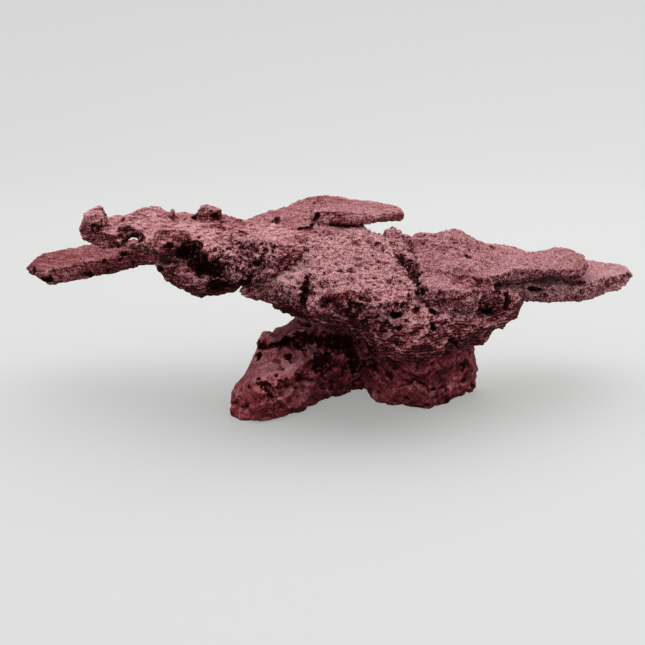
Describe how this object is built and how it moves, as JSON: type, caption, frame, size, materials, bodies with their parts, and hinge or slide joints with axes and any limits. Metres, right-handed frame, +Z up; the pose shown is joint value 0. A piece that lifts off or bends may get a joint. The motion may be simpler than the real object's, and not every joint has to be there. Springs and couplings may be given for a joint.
{
  "type": "aquarium reef rock",
  "caption": "Free-standing scape of porous, plum-dyed reef rock: feet carry a thick core, and thin shelf rocks cantilever from it to both sides and the back.",
  "frame": {"origin": "centre of the bounding box's footprint, on the floor that the feet stand on", "axes": "+Z up, +X along the longest side towards the right shelves, +Y towards the back shelves"},
  "size_m": [0.4204, 0.1839, 0.1395],
  "materials": {
    "rough_rock": "matt, coarse and porous, dusty pink over dark plum pits",
    "shelf_rock": "matt, fine-grained slab with broken edges, dusty pink",
    "foot_rock": "matt, smoother block with round pores, deep plum"
  },
  "bodies": {
    "root": {"core_rock": "rough_rock", "arm_left": "rough_rock", "shelf_right": "shelf_rock", "shelf_right_back": "shelf_rock", "shelf_left_back": "shelf_rock", "shelf_back_left": "shelf_rock", "wedge_back": "shelf_rock", "shelf_back_right": "shelf_rock", "foot_left": "foot_rock", "foot_right": "foot_rock"}
  },
  "joints": []
}
